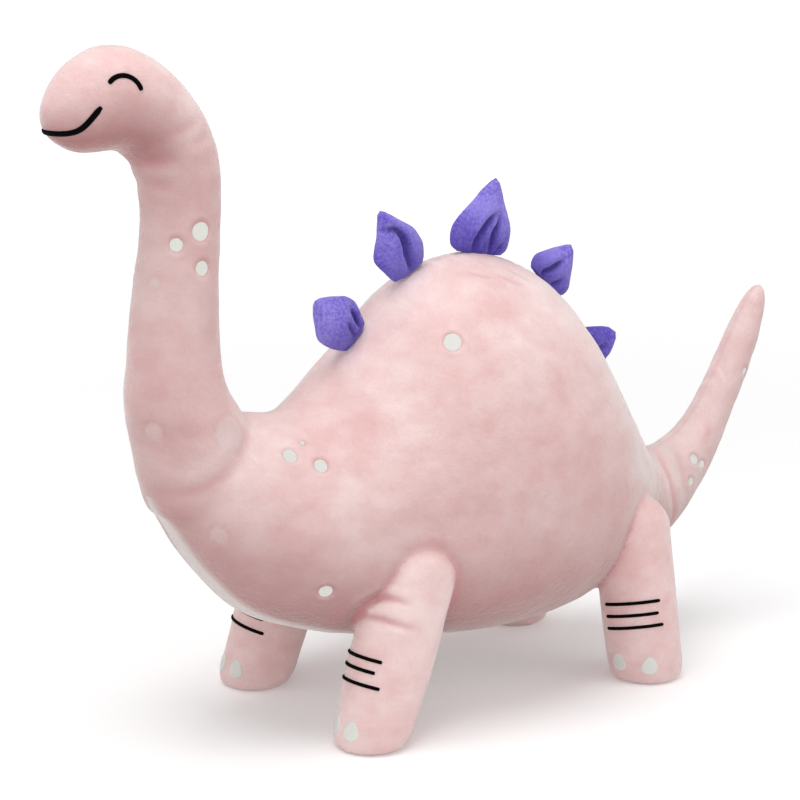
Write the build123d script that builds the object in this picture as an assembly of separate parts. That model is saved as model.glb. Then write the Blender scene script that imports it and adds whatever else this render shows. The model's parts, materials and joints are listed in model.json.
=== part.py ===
from build123d import *
import math
import os

os.makedirs("parts", exist_ok=True)

# A soft stuffed dinosaur standing on four short legs, with a long upright neck,
# a tapered tail that curls up, and five soft plates along its spine.
# Millimetres. +Z is up and the soles stand on Z = 0. The head points to -Y,
# the tail to +Y, and the dinosaur's own left side is +X.

# ---------------------------------------------------------------- trunk
TRUNK_WIDTH = 168.0     # widest part of the belly, flank to flank
BACK_RISE = 135.0       # from the widest line of the flanks up to the top of the hump
BELLY_DROP = 73.0       # from the widest line down to the lowest part of the belly
RIDGE = 0.40            # curve handle at the spine: shorter pinches the back up to its seam
ROUND = 0.5523          # curve handle that gives a true ellipse

# One row per upright cross-section, from the chest to the rump:
# y, height of the widest line, then the shares of BACK_RISE, BELLY_DROP and half of TRUNK_WIDTH.
TRUNK = [
    (-182, 143, 0.07, 0.06, 0.07),
    (-178, 140, 0.17, 0.18, 0.16),
    (-171, 135, 0.26, 0.26, 0.25),
    (-156, 124, 0.37, 0.46, 0.43),
    (-130, 113, 0.43, 0.65, 0.59),
    (-95, 104, 0.49, 0.74, 0.73),
    (-60, 102, 0.71, 0.84, 0.86),
    (-25, 103, 0.95, 0.93, 0.95),
    (8, 105, 1.00, 1.00, 1.00),
    (42, 104, 0.96, 0.97, 0.97),
    (75, 100, 0.83, 0.83, 0.86),
    (100, 96, 0.57, 0.60, 0.68),
    (122, 93, 0.34, 0.37, 0.47),
    (140, 93, 0.16, 0.20, 0.29),
    (150, 95, 0.06, 0.09, 0.16),
]

# ---------------------------------------------------------------- neck and head
# y, z, radius, lean: round hoops from the chest up to the muzzle.
# The lean is the hoop axis's angle from straight up towards the front, in degrees.
NECK_HEAD = [
    (-148, 132, 31.5, 15),
    (-154, 150, 31.8, 18),
    (-160, 168, 29.0, 14),
    (-165, 184, 26.4, 6),
    (-166, 202, 24.0, 0),
    (-164, 238, 21.2, -4),
    (-161, 264, 20.3, -4),
    (-160, 285, 20.4, 4),
    (-163, 302, 21.2, 20),
    (-171, 318, 22.4, 45),
    (-184, 328, 24.8, 75),
    (-198, 332, 25.8, 92),
    (-210, 329.5, 23.4, 98),
    (-220, 326, 18.6, 102),
    (-228, 323.5, 11.4, 102),
    (-231, 323, 6.2, 102),
]

# ---------------------------------------------------------------- tail
# y, z, radius, lean: hoops from the rump to the tip. The lean is towards the back.
TAIL = [
    (118, 87, 35.0, 92),
    (141, 85, 29.0, 82),
    (160, 91, 22.0, 66),
    (178, 103, 17.0, 50),
    (192, 119, 14.2, 36),
    (204, 138, 12.2, 30),
    (215, 158, 10.4, 28),
    (224, 177, 8.6, 26),
    (231, 192, 6.4, 26),
    (233, 197, 4.0, 26),
]

# ---------------------------------------------------------------- cloth and gaps
CLOTH = 2.0             # plush with its pile and backing
FILL_GAP = 0.2          # between the cloth and the stuffing it holds
JOINT_GAP = 0.6         # between pieces that bend past each other
SOLE_THICKNESS = 2.0
THREAD_PROUD = 0.5      # embroidery stands this far out of the plush
THREAD_DEEP = 0.9       # and its stitches sink this far in

# ---------------------------------------------------------------- bends
# Each soft limb bends about a line across the body. The trunk ends in a drum on that line.
NECK_PIVOT = (-150.0, 140.0)    # y, z
NECK_DRUM = 31.0
NECK_BEND = 12.0                # degrees each way
NECK_SECTOR = (52.0, 176.0)     # the neck's place round its pivot, from +Y towards +Z

HEAD_PIVOT = (-161.0, 303.0)
HEAD_DRUM = 21.0
HEAD_BEND = 12.0
HEAD_SECTOR = (2.0, 190.0)

TAIL_PIVOT = (134.0, 88.0)
TAIL_DRUM = 26.0
TAIL_BEND = 12.0
TAIL_SECTOR = (-50.0, 64.0)

LEG_BEND = 12.0
PLATE_BEND = 20.0
SWING_ROOM = 0.8                # degrees of extra room past each limit

# ---------------------------------------------------------------- legs
# name: hip (x, y, z), middle of the sole (x, y), radius at hip, radius at foot, toes turned out
LEGS = {
    "front": ((52.0, -54.0, 74.0), (57.0, -86.0), 21.5, 21.0, 0.0),
    "hind": ((52.0, 91.0, 70.0), (60.0, 98.5), 20.0, 20.5, 30.0),
}
DOME_STEP = 0.5         # the domed top is this much wider than the stump under it
FOOT_ROUND = 3.5        # the foot's lower edge rolls under by this much
NAIL_WIDTH = 10.0
NAIL_LOW = 7.0          # a nail's lower edge above the floor
NAIL_HEIGHT = 17.5      # and the top of its arch
NAIL_ANGLE = 24.0       # each nail sits this far to one side of the toe direction
STRIPE_HEIGHTS = {"front": (31.7, 39.1, 45.3), "hind": (31.2, 38.3, 45.4)}   # along the leg from its sole
STRIPE_WIDTH = 2.0
STRIPE_ARC = 45.0       # each stripe reaches this far round to either side

# ---------------------------------------------------------------- plates on the spine
# y of the middle of the base, height, half width, lean of the tip towards the tail
PLATES = [
    (-57.0, 34.0, 14.5, 0.0),
    (-23.0, 39.5, 15.5, -0.5),
    (23.0, 41.5, 20.0, 4.0),
    (69.3, 27.0, 16.0, 1.2),
    (99.3, 24.0, 13.0, 2.3),
]
PLATE_THICK = 11.0      # the fattest part, which is below the middle
PLATE_ROOT = 3.0        # radius of the rolled seam that a plate is sewn down by
PLATE_CLOTH = 1.4

# ---------------------------------------------------------------- embroidery
# Spots of the trunk on the left side: y, share of half of TRUNK_WIDTH, share of BACK_RISE above the widest
# line (or of BELLY_DROP below it, when negative), direction out of the plush, radius.
TRUNK_SPOTS = [
    (-26, 0.524, 0.741, (0.69, -0.42, 0.59), 5.2),
    (-119, 0.387, 0.317, (0.70, -0.05, 0.71), 4.2),
    (-105, 0.476, 0.307, (0.75, -0.16, 0.64), 4.0),
    (-108, 0.333, 0.375, (0.56, -0.07, 0.83), 1.8),
    (-110, 0.607, -0.313, (0.82, -0.37, -0.43), 4.0),
    (-160, 0.369, -0.122, (0.69, -0.70, -0.20), 3.6),
]
# Spots of the neck and tail: centre on the left side (x, y, z), direction out of the plush, radius.
# Every spot has a twin on the right side.
NECK_SPOTS = [
    ((20, -160, 269), (1.0, -0.07, 0.0), 5.0),
    ((16, -172, 263), (0.75, -0.65, 0.08), 3.9),
    ((20, -160, 252), (1.0, 0.07, 0.03), 4.0),
    ((10, -181, 244), (0.44, -0.87, 0.20), 3.6),
]
TAIL_SPOTS = [
    ((17, 169, 104), (0.89, -0.03, 0.45), 2.6),
    ((17, 174, 99), (0.97, 0.13, 0.20), 2.2),
    ((19, 167, 93), (0.96, 0.20, 0.10), 2.8),
    ((10, 216, 151), (0.92, 0.39, -0.09), 2.8),
]
# The closed eye is an arch of black thread on each side of the head.
EYE_CENTRE = (-201.5, 337.5)    # y, z of the arch's centre
EYE_RADIUS = 8.6
EYE_SPAN = (10.0, 142.0)        # from +Y towards +Z
THREAD_WIDTH = 2.2
# Seen from the front, the smile is flat in the middle and turns up at both corners.
SMILE_LOW = 319.3       # z at the middle
SMILE_RISE = 11.7       # from there up to the corners
SMILE_HALF = 22.0       # from the middle out to a corner
SMILE_POWER = 6

BIG = 600.0


def save(shape, name):
    """Write one node's solids to its own file."""
    export_step(shape, f"parts/{name}.step")


def solids_of(shape):
    """Gather a result's solids in one compound, whatever kind of list it came as."""
    return Compound(children=list(shape.solids()))


def hoop(y, waist, up, down, half):
    """One upright egg-shaped cross-section, as four curves that meet smoothly."""
    top = Vector(0, y, waist + up)
    low = Vector(0, y, waist - down)
    curves = []
    for side in (1, -1):
        flank = Vector(side * half, y, waist)
        rising = [
            flank,
            flank + Vector(0, 0, ROUND * up),
            top + Vector(side * RIDGE * half, 0, 0),
            top,
        ]
        falling = [
            flank,
            flank - Vector(0, 0, ROUND * down),
            low + Vector(side * ROUND * half, 0, 0),
            low,
        ]
        curves.append((rising, falling))
    (right_up, right_down), (left_up, left_down) = curves
    around = [right_up, left_up[::-1], left_down, right_down[::-1]]
    return Wire([Edge.make_bezier(*points) for points in around])


def trunk(grow=0.0):
    """The trunk's closed shape, moved out from its surface by grow."""
    hoops = []
    last = len(TRUNK) - 1
    for number, (y, waist, back, belly, width) in enumerate(TRUNK):
        shift = -grow if number == 0 else grow if number == last else 0.0
        up = back * BACK_RISE + grow
        down = belly * BELLY_DROP + grow
        hoops.append(hoop(y + shift, waist, up, down, width * TRUNK_WIDTH / 2 + grow))
    return Solid.make_loft(hoops)


def tube(rows, towards, grow=0.0):
    """A smooth tube through round hoops, moved out from its surface by grow."""
    hoops = []
    last = len(rows) - 1
    for number, (y, z, radius, lean) in enumerate(rows):
        angle = math.radians(lean)
        along = Vector(0, towards * math.sin(angle), math.cos(angle))
        shift = -grow if number == 0 else grow if number == last else 0.0
        middle = Vector(0, y, z) + along * shift
        hoops.append(Wire.make_circle(radius + grow, Plane(middle, (1, 0, 0), along)))
    return Solid.make_loft(hoops)


def drum(pivot, radius, left=BIG, right=-BIG):
    """A round bar along X through a pivot given as (y, z)."""
    start = Plane(Vector(right, pivot[0], pivot[1]), (0, 1, 0), (1, 0, 0))
    return Solid.make_cylinder(radius, left - right, start)


def sector(pivot, first, last, reach):
    """A fan-shaped block along X: the space between two angles round a pivot."""
    count = 8
    points = [Vector(-BIG, pivot[0], pivot[1])]
    for step in range(count + 1):
        angle = math.radians(first + (last - first) * step / count)
        points.append(Vector(-BIG, pivot[0] + reach * math.cos(angle), pivot[1] + reach * math.sin(angle)))
    outline = Face(Wire.make_polygon(points, close=True))
    return Solid.extrude(outline, Vector(2 * BIG, 0, 0))


def swing_room(pivot, span, bend, reach, keep):
    """What a bending limb sweeps through, outside the drum it bends round."""
    extra = bend + SWING_ROOM
    return sector(pivot, span[0] - extra, span[1] + extra, reach) - drum(pivot, keep)


def halves(shape):
    """Split a shape at the middle of the body into its left and right side."""
    left = Box(BIG, 2 * BIG, 2 * BIG, align=(Align.MIN, Align.CENTER, Align.CENTER))
    right = Box(BIG, 2 * BIG, 2 * BIG, align=(Align.MAX, Align.CENTER, Align.CENTER))
    return shape & left, shape & right


def both_sides(shape):
    """A shape and its mirror image on the other side of the body."""
    return Compound(children=[*shape.solids(), *shape.mirror(Plane.YZ).solids()])


def stitches(skin_at, cutters):
    """Thin pads of thread that follow the plush inside each cutter."""
    proud = skin_at(THREAD_PROUD)
    deep = skin_at(-THREAD_DEEP)
    pads = []
    for cutter in cutters:
        pads.extend(((proud & cutter) - deep).solids())
    return Compound(children=pads)


def on_trunk(y, across, rise):
    """The place on the trunk's left side that lies at these shares of its half width and of its rise or drop."""
    for (y1, waist1, *_), (y2, waist2, *_) in zip(TRUNK, TRUNK[1:]):
        if y1 <= y <= y2:
            waist = waist1 + (waist2 - waist1) * (y - y1) / (y2 - y1)
            return across * TRUNK_WIDTH / 2, y, waist + rise * (BACK_RISE if rise > 0 else BELLY_DROP)


def spot_pegs(spots):
    """Round bars that cut the spots on the left side out of the plush."""
    pegs = []
    for centre, out, radius in spots:
        direction = Vector(*out).normalized()
        start = Plane(Vector(*centre) - direction * 9, z_dir=direction)
        pegs.append(Solid.make_cylinder(radius, 16, start))
    return pegs


# ---------------------------------------------------------------- legs: shapes and their sockets
def leg_body(kind, grow=0.0, sole=0.0):
    """The left leg of one pair: a round stump from its sole up to a domed top at the hip."""
    (hip_x, hip_y, hip_z), (foot_x, foot_y), hip_r, foot_r, _ = LEGS[kind]
    rows = [(sole, foot_r - FOOT_ROUND), (sole + 1.4, foot_r - 0.3 * FOOT_ROUND), (sole + 5.0, foot_r), (hip_z, hip_r - DOME_STEP)]
    hoops = []
    for height, radius in rows:
        share = height / hip_z
        middle = Vector(foot_x + (hip_x - foot_x) * share, foot_y + (hip_y - foot_y) * share, height)
        hoops.append(Wire.make_circle(radius + grow, Plane(middle)))
    stump = Solid.make_loft(hoops, ruled=True)
    dome = Solid.make_sphere(hip_r + grow, Plane((hip_x, hip_y, hip_z)))
    return stump + dome


def leg_angle(kind):
    """The direction of the leg round its hip, from +Y towards +Z."""
    (_, hip_y, hip_z), (_, foot_y), _, _, _ = LEGS[kind]
    return math.degrees(math.atan2(-hip_z, foot_y - hip_y))


def socket(kind):
    """The room in the trunk for one left leg, at every angle it swings to."""
    (hip_x, hip_y, hip_z), _, hip_r, foot_r, _ = LEGS[kind]
    room = max(hip_r, foot_r) + JOINT_GAP
    inner = hip_x - room
    aim = leg_angle(kind)
    space = drum((hip_y, hip_z), room, left=BIG, right=inner)
    for turn in (-LEG_BEND - SWING_ROOM, 0.0, LEG_BEND + SWING_ROOM):
        path = Box(BIG, 2 * room, hip_z + 30, align=(Align.MIN, Align.CENTER, Align.MAX))
        path = path.rotate(Axis.X, aim + 90 + turn)
        space = space + path.translate(Vector(inner, hip_y, hip_z))
    return space


# ---------------------------------------------------------------- trunk
neck_room = swing_room(NECK_PIVOT, NECK_SECTOR, NECK_BEND, 62, NECK_DRUM)
tail_room = swing_room(TAIL_PIVOT, TAIL_SECTOR, TAIL_BEND, 62, TAIL_DRUM)
sockets = []
for kind in LEGS:
    sockets.append(socket(kind))
    sockets.append(socket(kind).mirror(Plane.YZ))


def stumps(grow=0.0, past=0.0):
    """The round ends in the trunk that the neck and the tail bend on."""
    neck_stump = tube(NECK_HEAD, -1, grow) & drum(NECK_PIVOT, NECK_DRUM + past)
    tail_stump = tube(TAIL, 1, grow) & drum(TAIL_PIVOT, TAIL_DRUM + past)
    return neck_stump, tail_stump


def torso(grow=0.0):
    """The trunk with its two stumps, and with room for every limb."""
    shape = trunk(grow) - neck_room - tail_room
    for stump in stumps(grow):
        shape = shape + stump
    for hole in sockets:
        shape = shape - hole
    return shape


trunk_outer = trunk()
trunk_skin = torso() - trunk(-CLOTH)
for hollow in stumps(-CLOTH, past=1.0):
    trunk_skin = trunk_skin - hollow
trunk_filling = torso(-CLOTH - FILL_GAP)

# The belly gusset is a boat-shaped panel between the two sides.
GUSSET_HALF = 26.0
gusset_outline = [
    (0, -176), (12, -160), (22, -125), (GUSSET_HALF, -80), (GUSSET_HALF, 90), (18, 118), (0, 152),
    (-18, 118), (-GUSSET_HALF, 90), (-GUSSET_HALF, -80), (-22, -125), (-12, -160),
]
gusset_face = Face(Wire.make_polygon([Vector(x, y, -20) for x, y in gusset_outline], close=True))
gusset_block = Solid.extrude(gusset_face, Vector(0, 0, 112))
side_left, side_right = halves(trunk_skin - gusset_block)
save(side_left, "torso_side_left")
save(side_right, "torso_side_right")
save(trunk_skin & gusset_block, "belly_gusset")
save(trunk_filling, "torso_stuffing")
spots = stitches(trunk, spot_pegs([(on_trunk(*place), out, radius) for *place, out, radius in TRUNK_SPOTS]))
save(spots, "torso_spots_left")
save(solids_of(spots.mirror(Plane.YZ)), "torso_spots_right")

# ---------------------------------------------------------------- neck and head
def neck_head(grow=0.0):
    """The neck and head in one smooth tube."""
    return tube(NECK_HEAD, -1, grow)


neck_place = sector(NECK_PIVOT, *NECK_SECTOR, BIG) - drum(NECK_PIVOT, NECK_DRUM + JOINT_GAP)
head_room = swing_room(HEAD_PIVOT, HEAD_SECTOR, HEAD_BEND, BIG, HEAD_DRUM)
head_place = sector(HEAD_PIVOT, *HEAD_SECTOR, BIG) - drum(HEAD_PIVOT, HEAD_DRUM + JOINT_GAP)


def neck_part(shape):
    """The neck's share of the tube."""
    return (shape & neck_place) - head_room


def head_part(shape):
    """The head's share of the tube."""
    return shape & head_place


neck_skin = neck_head() - neck_head(-CLOTH)
neck_filling = neck_head(-CLOTH - 2 * FILL_GAP)
for name, part in (("neck", neck_part), ("head", head_part)):
    left, right = halves(part(neck_skin))
    save(left, f"{name}_side_left")
    save(right, f"{name}_side_right")
    save(part(neck_filling), f"{name}_stuffing")

spots = stitches(neck_head, spot_pegs(NECK_SPOTS))
save(both_sides(spots), "neck_spots")


def arc_block(centre, radius, first, last, length):
    """A curved bar of thread's width, drawn in the XY plane and raised by length."""
    inner = radius - THREAD_WIDTH / 2
    outer = radius + THREAD_WIDTH / 2
    ring = Solid.make_cylinder(outer, length) - Solid.make_cylinder(inner, length)
    points = [Vector(0, 0, 0)]
    for step in range(9):
        angle = math.radians(first + (last - first) * step / 8)
        points.append(Vector(2 * outer * math.cos(angle), 2 * outer * math.sin(angle), 0))
    fan = Solid.extrude(Face(Wire.make_polygon(points, close=True)), Vector(0, 0, length))
    return Location(centre) * (ring & fan)


# Drawn in the YZ plane, from the middle of the head out to the left.
eye_bar = Plane((4, 0, 0), (0, 1, 0), (1, 0, 0)).location * arc_block(
    Vector(*EYE_CENTRE, 0), EYE_RADIUS, *EYE_SPAN, 60
)
eye = stitches(neck_head, [eye_bar])
save(eye, "eye_left")
save(solids_of(eye.mirror(Plane.YZ)), "eye_right")



def smile_point(x, side):
    """One edge of the smile's thread: above the middle line for side 1, below it for -1."""
    share = x / SMILE_HALF
    z = SMILE_LOW + SMILE_RISE * share ** SMILE_POWER
    slope = SMILE_POWER * SMILE_RISE * share ** (SMILE_POWER - 1) / SMILE_HALF
    length = math.hypot(1, slope)
    offset = side * THREAD_WIDTH / 2
    return Vector(x - offset * slope / length, -206, z + offset / length)


places = [SMILE_HALF * step / 12 for step in range(-12, 13)]
upper = [smile_point(x, 1) for x in places]
lower = [smile_point(x, -1) for x in reversed(places)]
# The thread's outline is carried forward from behind the corners of the mouth.
smile_bar = Solid.extrude(Face(Wire.make_polygon(upper + lower, close=True)), Vector(0, -60, 0))
save(stitches(neck_head, [smile_bar]), "mouth")

# ---------------------------------------------------------------- tail
def tail(grow=0.0):
    """The whole tail."""
    return tube(TAIL, 1, grow)


tail_place = sector(TAIL_PIVOT, *TAIL_SECTOR, BIG) - drum(TAIL_PIVOT, TAIL_DRUM + JOINT_GAP)
left, right = halves((tail() - tail(-CLOTH)) & tail_place)
save(left, "tail_side_left")
save(right, "tail_side_right")
save(tail(-CLOTH - FILL_GAP) & tail_place, "tail_stuffing")
save(both_sides(stitches(tail, spot_pegs(TAIL_SPOTS))), "tail_spots")

# ---------------------------------------------------------------- legs
def leg_pieces(kind):
    """Skin, sole, stuffing, nails and stripes of one left leg, by name."""
    hip, (foot_x, foot_y), _, foot_r, turned = LEGS[kind]
    floor = Box(BIG, BIG, BIG, align=(Align.CENTER, Align.CENTER, Align.MAX))
    below_sole = floor.translate(Vector(foot_x, foot_y, SOLE_THICKNESS))
    outer = leg_body(kind)
    inner = leg_body(kind, -CLOTH)
    pieces = {
        "skin": (outer - inner) - below_sole,
        "sole": outer & below_sole,
        "stuffing": leg_body(kind, -CLOTH - FILL_GAP) - floor.translate(
            Vector(foot_x, foot_y, SOLE_THICKNESS + FILL_GAP)
        ),
    }

    facing = Plane((foot_x, foot_y, 0), (math.cos(math.radians(turned)), math.sin(math.radians(turned)), 0))
    nail_bars = []
    for side in (-NAIL_ANGLE, NAIL_ANGLE):
        arch = Solid.extrude(
            Face(Wire.make_polygon([
                Vector(-NAIL_WIDTH / 2, 0, NAIL_LOW),
                Vector(NAIL_WIDTH / 2, 0, NAIL_LOW),
                Vector(NAIL_WIDTH / 2, 0, NAIL_HEIGHT - NAIL_WIDTH / 2),
                Vector(-NAIL_WIDTH / 2, 0, NAIL_HEIGHT - NAIL_WIDTH / 2),
            ], close=True)),
            Vector(0, -60, 0),
        )
        crown = Solid.make_cylinder(
            NAIL_WIDTH / 2, 60, Plane((0, 0, NAIL_HEIGHT - NAIL_WIDTH / 2), (1, 0, 0), (0, -1, 0))
        )
        nail_bars.append(facing.location * (arch + crown).rotate(Axis.Z, side))

    axis = (Vector(*hip) - Vector(foot_x, foot_y, 0)).normalized()
    stripe_bars = []
    reach = 60.0
    points = [Vector(0, 0, 0)]
    for step in range(9):
        angle = math.radians(-90 - STRIPE_ARC + 2 * STRIPE_ARC * step / 8)
        points.append(Vector(reach * math.cos(angle), reach * math.sin(angle), 0))
    fan = Solid.extrude(Face(Wire.make_polygon(points, close=True)), Vector(0, 0, STRIPE_WIDTH))
    for height in STRIPE_HEIGHTS[kind]:
        middle = Vector(foot_x, foot_y, 0) + axis * height
        forward = facing.x_dir - axis * facing.x_dir.dot(axis)
        stripe_bars.append(Plane(middle, forward, axis).location * fan)

    def skin_at(grow):
        return leg_body(kind, grow)

    pieces["toenails"] = stitches(skin_at, nail_bars)
    pieces["stripes"] = stitches(skin_at, stripe_bars)
    return pieces


for kind in LEGS:
    for piece, shape in leg_pieces(kind).items():
        save(solids_of(shape), f"{kind}_leg_left_{piece}")
        save(solids_of(shape.mirror(Plane.YZ)), f"{kind}_leg_right_{piece}")

# ---------------------------------------------------------------- plates on the spine
def spine_at(y):
    """The top of the back above one place along the body."""
    hits = trunk_outer.find_intersection_points(Axis((0, y, BIG), (0, 0, -1)))
    return max((point for point, _ in hits), key=lambda point: point.Z)


def plate_leaf(height, half, lean, grow=0.0):
    """A plump leaf that stands on the origin, where its axis is."""
    rows = [(0.0, 0.70, PLATE_ROOT), (0.38, 1.0, PLATE_THICK / 2), (0.72, 0.60, 0.38 * PLATE_THICK), (1.0, 0.16, 1.7)]
    hoops = []
    for share, width, thick in rows:
        shift = -grow if share == 0.0 else grow if share == 1.0 else 0.0
        middle = Vector(lean * share, 0, height * share + shift)
        hoops.append(Wire.make_ellipse(width * half + grow, thick + grow, Plane(middle)))
    return Solid.make_loft(hoops)


def plate_root(half):
    """The half-round rolled seam under a leaf."""
    long = 1.2 * half
    roll = Solid.make_cylinder(PLATE_ROOT, long, Plane((-long / 2, 0, 0), (0, 0, 1), (1, 0, 0)))
    return roll & Box(BIG, BIG, BIG, align=(Align.CENTER, Align.CENTER, Align.MAX))


for number, (y, height, half, lean) in enumerate(PLATES, 1):
    before = spine_at(y - 0.6 * half)
    after = spine_at(y + 0.6 * half)
    along = (after - before).normalized()
    out = Vector(0, -along.Z, along.Y)
    seat = spine_at(y) + out * (PLATE_ROOT + JOINT_GAP)
    place = Plane(seat, along, out).location
    print(f"plate_{number} pivot", [round(v, 2) for v in seat], "axis", [round(v, 4) for v in along])
    tall = height - PLATE_ROOT
    hollow = place * plate_leaf(tall, half, lean, -PLATE_CLOTH)
    for side, face in zip(("left", "right"), halves(place * plate_leaf(tall, half, lean))):
        save(face - hollow, f"plate_{number}_face_{side}")
    save(place * plate_leaf(tall, half, lean, -PLATE_CLOTH - FILL_GAP), f"plate_{number}_stuffing")
    save(place * plate_root(half), f"plate_{number}_root")
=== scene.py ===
# %% [markdown]
# # A stuffed dinosaur in soft plush
# The real toy is cut from short-pile polyester plush, sewn inside out, turned, and filled with loose fibre.
# Its look comes from four things: one smooth stuffed skin, the pile's pale sheen, the small
# creases beside each seam, and the embroidery. The lesson starts from the measured frame,
# so every length below is in metres and every place is the frame's own.

# %% Load the frame
import json
import math

import bpy
import numpy as np
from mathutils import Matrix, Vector, noise
from mathutils.bvhtree import BVHTree


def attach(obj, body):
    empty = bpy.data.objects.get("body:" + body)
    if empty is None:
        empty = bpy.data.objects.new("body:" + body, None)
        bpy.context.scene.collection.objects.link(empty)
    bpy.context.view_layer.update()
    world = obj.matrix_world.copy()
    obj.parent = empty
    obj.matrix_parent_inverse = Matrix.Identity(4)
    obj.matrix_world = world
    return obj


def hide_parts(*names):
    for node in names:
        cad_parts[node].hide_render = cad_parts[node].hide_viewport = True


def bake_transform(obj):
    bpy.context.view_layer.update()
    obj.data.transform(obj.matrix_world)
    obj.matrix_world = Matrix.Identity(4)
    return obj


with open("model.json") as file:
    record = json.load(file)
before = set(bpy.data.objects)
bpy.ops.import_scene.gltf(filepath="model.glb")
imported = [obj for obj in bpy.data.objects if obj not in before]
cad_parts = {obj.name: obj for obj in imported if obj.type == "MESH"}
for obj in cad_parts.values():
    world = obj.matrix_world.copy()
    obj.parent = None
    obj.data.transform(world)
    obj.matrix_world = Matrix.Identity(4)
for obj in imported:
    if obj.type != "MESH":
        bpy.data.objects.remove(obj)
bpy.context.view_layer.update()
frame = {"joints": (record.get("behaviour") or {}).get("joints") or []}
MM = 0.001

# %% [markdown]
# ## Where the eye stands
# The toy is seen from its front left, a little above the middle of its body. A long lens
# keeps the near foot and the far foot about the same size, as a studio picture does.

# %% Camera
TURN, RISE, DISTANCE = math.radians(55), math.radians(13), 1.18
AIM = Vector((0, -28.5, 164)) * MM
away = Vector((math.sin(TURN) * math.cos(RISE), -math.cos(TURN) * math.cos(RISE), math.sin(RISE)))
camera = bpy.data.objects.new("camera", bpy.data.cameras.new("camera"))
bpy.context.collection.objects.link(camera)
camera.location = AIM + away * DISTANCE
camera.rotation_euler = away.to_track_quat("Z", "Y").to_euler()
camera.data.lens = 99
camera.data.sensor_width = 36
camera.data.clip_start = 0.01
bpy.context.scene.camera = camera
print("camera stands", round(camera.location.length, 2), "m from the origin")

# %% [markdown]
# ## A few hands to work with
# Operators act on whatever is selected, so each step first clears the selection.
# A row table is a short list of cross-sections; `between` fills in the ones between
# with a curve through all of them, as a flexible spline laid on pins would.

# %% Helpers for selection and smooth rows
def only(*pieces):
    """Select these objects and nothing else."""
    bpy.ops.object.select_all(action="DESELECT")
    for piece in pieces:
        piece.select_set(True)
    bpy.context.view_layer.objects.active = pieces[0]


def between(rows, count):
    """More rows on a smooth curve through the given ones."""
    rows = np.array(rows, float)
    padded = np.vstack([2 * rows[0] - rows[1], rows, 2 * rows[-1] - rows[-2]])
    places = np.linspace(0, len(rows) - 1, count)
    start = np.minimum(places.astype(int), len(rows) - 2)
    t = (places - start)[:, None]
    a, b, c, d = (padded[start + k] for k in range(4))
    return 0.5 * (2 * b + (c - a) * t + (2 * a - 5 * b + 4 * c - d) * t**2 + (3 * b - a - 3 * c + d) * t**3)


def coordinates(piece):
    """All vertex positions of a piece as one array."""
    places = np.empty(len(piece.data.vertices) * 3)
    piece.data.vertices.foreach_get("co", places)
    return places.reshape(-1, 3)


def move_to(piece, places):
    """Put every vertex of a piece at a new position."""
    piece.data.vertices.foreach_set("co", np.ascontiguousarray(places, float).ravel())
    piece.data.update()


def normals_of(piece):
    """The smooth normal at each vertex."""
    found = np.empty(len(piece.data.vertices) * 3)
    piece.data.vertex_normals.foreach_get("vector", found)
    return found.reshape(-1, 3)


# %% [markdown]
# ## The stuffed body
# Each cloth tube starts as a UV sphere. Its rings slide onto the cross-sections of the pattern,
# from one pole to the other, so a head, a neck or a trunk is one closed bag from the start.
# The trunk's sections are eggs with a narrower top, because two side panels meet in a seam there.

# %% Bags shaped from spheres
def bag(name, rings, first_pole, last_pole, around=56):
    """A closed bag: ring number i of a UV sphere goes to rings[i], a function of the angle round it."""
    bpy.ops.object.select_all(action="DESELECT")
    bpy.ops.mesh.primitive_uv_sphere_add(segments=around, ring_count=len(rings) + 1, radius=1)
    piece = bpy.context.object
    piece.name = name
    places = coordinates(piece)
    for number, (x, y, z) in enumerate(places.copy()):
        ring = round(math.acos(max(-1, min(1, z))) / math.pi * (len(rings) + 1))
        if ring == 0:
            places[number] = first_pole
        elif ring == len(rings) + 1:
            places[number] = last_pole
        else:
            places[number] = rings[ring - 1](math.atan2(y, x))
    move_to(piece, places * MM)
    return piece


def egg(y, waist, up, down, half):
    """A trunk section. The angle 0 is the left flank and a quarter turn is the spine."""
    def at(angle):
        side, rise = math.cos(angle), math.sin(angle)
        if rise > 0:
            return math.copysign(half * abs(side) ** 1.25, side), y, waist + up * rise
        return half * side, y, waist + down * rise
    return at


def hoop(y, z, radius, lean, towards):
    """A round section of a limb. Lean is its axis's angle from straight up, in degrees."""
    tilt = math.radians(lean)
    def at(angle):
        across, along = radius * math.cos(angle), radius * math.sin(angle)
        return across, y + along * math.cos(tilt) * towards, z - along * math.sin(tilt)
    return at


# %% The trunk, head and neck, and tail
TRUNK = [
    (-182, 143, 10, 4, 6), (-178, 140, 23, 13, 13), (-171, 135, 35, 19, 21), (-155, 124, 50, 34, 36),
    (-130, 113, 58, 48, 50), (-95, 104, 66, 54, 61), (-60, 102, 96, 61, 72), (-25, 103, 128, 68, 80),
    (8, 105, 135, 73, 84), (42, 104, 130, 71, 81.5), (75, 100, 112, 61, 72), (100, 96, 77, 44, 57),
    (122, 93, 46, 27, 39.5), (140, 93, 22, 15, 24), (150, 95, 8, 7, 13),
]
NECK_HEAD = [
    (-148, 132, 31.5, 15), (-154, 150, 31.8, 18), (-160, 168, 29, 14), (-165, 184, 26.4, 6),
    (-166, 202, 24, 0), (-164, 238, 21.2, -4), (-161, 264, 20.3, -4), (-160, 285, 20.4, 4),
    (-163, 302, 21.2, 20), (-171, 318, 22.4, 45), (-184, 329.8, 24.4, 75), (-198, 334.3, 25.0, 92),
    (-210, 331.8, 22.8, 98), (-220, 327.4, 18.6, 102), (-228, 324.6, 11.8, 102), (-231.8, 324, 6.6, 102),
]
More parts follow.
